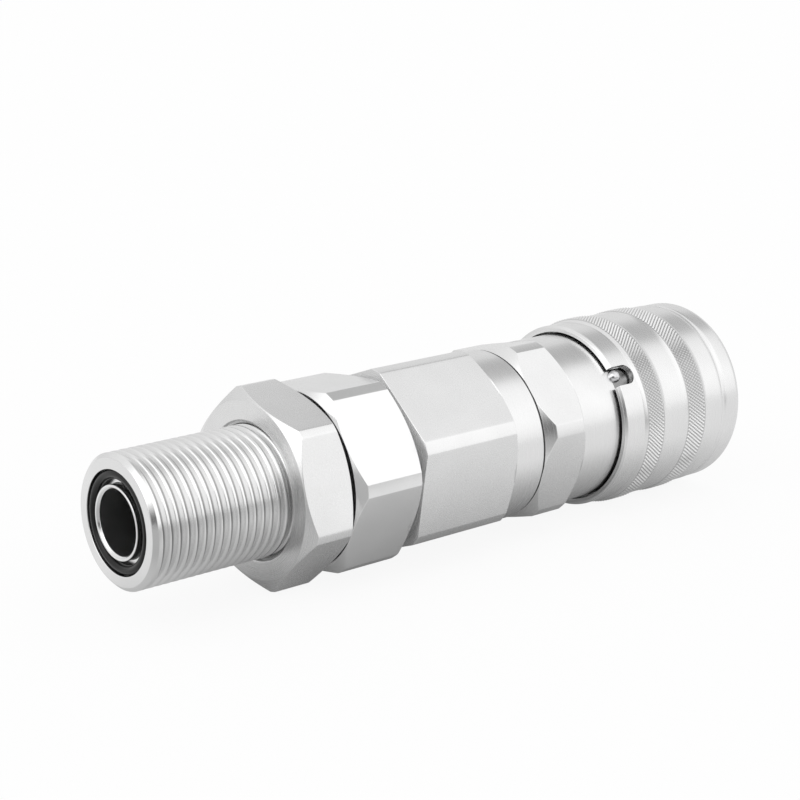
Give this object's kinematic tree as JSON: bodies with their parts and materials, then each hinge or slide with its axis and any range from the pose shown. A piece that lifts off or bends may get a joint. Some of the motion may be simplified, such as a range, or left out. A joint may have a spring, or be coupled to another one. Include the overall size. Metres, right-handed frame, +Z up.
{
  "type": "flat face hydraulic coupler",
  "caption": "Female flat face hydraulic coupler with a knurled locking sleeve, stop ball, hexagon bodies, and a face seal male thread with a lock nut.",
  "frame": {"origin": "centre of the flat seal face at the end of the male thread", "axes": "+X along the coupler's axis from the seal face to the socket's nose, +Z up as it lies"},
  "size_m": [0.1465, 0.04, 0.04],
  "materials": {
    "plated_steel": "satin zinc-nickel plating over turned and milled steel",
    "valve_steel": "fine turned and ground steel",
    "hard_steel": "polished bearing steel",
    "spring_steel": "drawn spring wire",
    "seal_rubber": "glossy black nitrile rubber",
    "backup_plastic": "white fluoroplastic"
  },
  "bodies": {
    "coupler_body": {"adapter": "plated_steel", "face_seal": "seal_rubber", "adapter_seal": "seal_rubber", "rear_body": "plated_steel", "front_body": "plated_steel", "body_seal": "seal_rubber", "body_backup_ring": "backup_plastic", "stop_ball": "hard_steel", "lock_balls": "hard_steel", "nipple_seal": "seal_rubber", "nipple_backup_ring": "backup_plastic", "valve_guide": "valve_steel", "valve_seal": "seal_rubber", "guide_seal": "seal_rubber", "guide_circlip": "spring_steel", "stem": "valve_steel", "stem_seal": "seal_rubber", "stem_carrier": "valve_steel", "stem_nut": "plated_steel", "sleeve_stop_ring": "spring_steel", "ball_ring_spring": "spring_steel", "valve_spring": "spring_steel"},
    "sleeve_spring": {"sleeve_spring": "spring_steel"},
    "sleeve": {"sleeve": "plated_steel"},
    "ball_ring": {"ball_ring": "valve_steel"},
    "valve_sleeve": {"valve_sleeve": "valve_steel"},
    "lock_nut": {"lock_nut": "plated_steel"}
  },
  "joints": [
    {"name": "sleeve_slide", "type": "slide", "parent": "coupler_body", "child": "sleeve_spring", "axis": [1, 0, 0], "range_m": [-0.0021, 0], "stiffness_N_per_m": 2500, "deforming": ["sleeve_spring"]},
    {"name": "sleeve_turn", "type": "hinge", "parent": "sleeve_spring", "child": "sleeve", "pos_m": [0.13, 0, 0], "axis": [1, 0, 0], "range_deg": [-4, 0.5]},
    {"name": "ball_ring_slide", "type": "slide", "parent": "coupler_body", "child": "ball_ring", "axis": [1, 0, 0], "range_m": [-0.0095, 0], "stiffness_N_per_m": 800, "deforming": ["ball_ring_spring"]},
    {"name": "valve_slide", "type": "slide", "parent": "coupler_body", "child": "valve_sleeve", "axis": [1, 0, 0], "range_m": [-0.0095, 0], "stiffness_N_per_m": 1500, "deforming": ["valve_spring"]},
    {"name": "lock_nut_turn", "type": "hinge", "parent": "coupler_body", "child": "lock_nut", "pos_m": [0.0347, 0, 0], "axis": [1, 0, 0], "continuous": true}
  ]
}
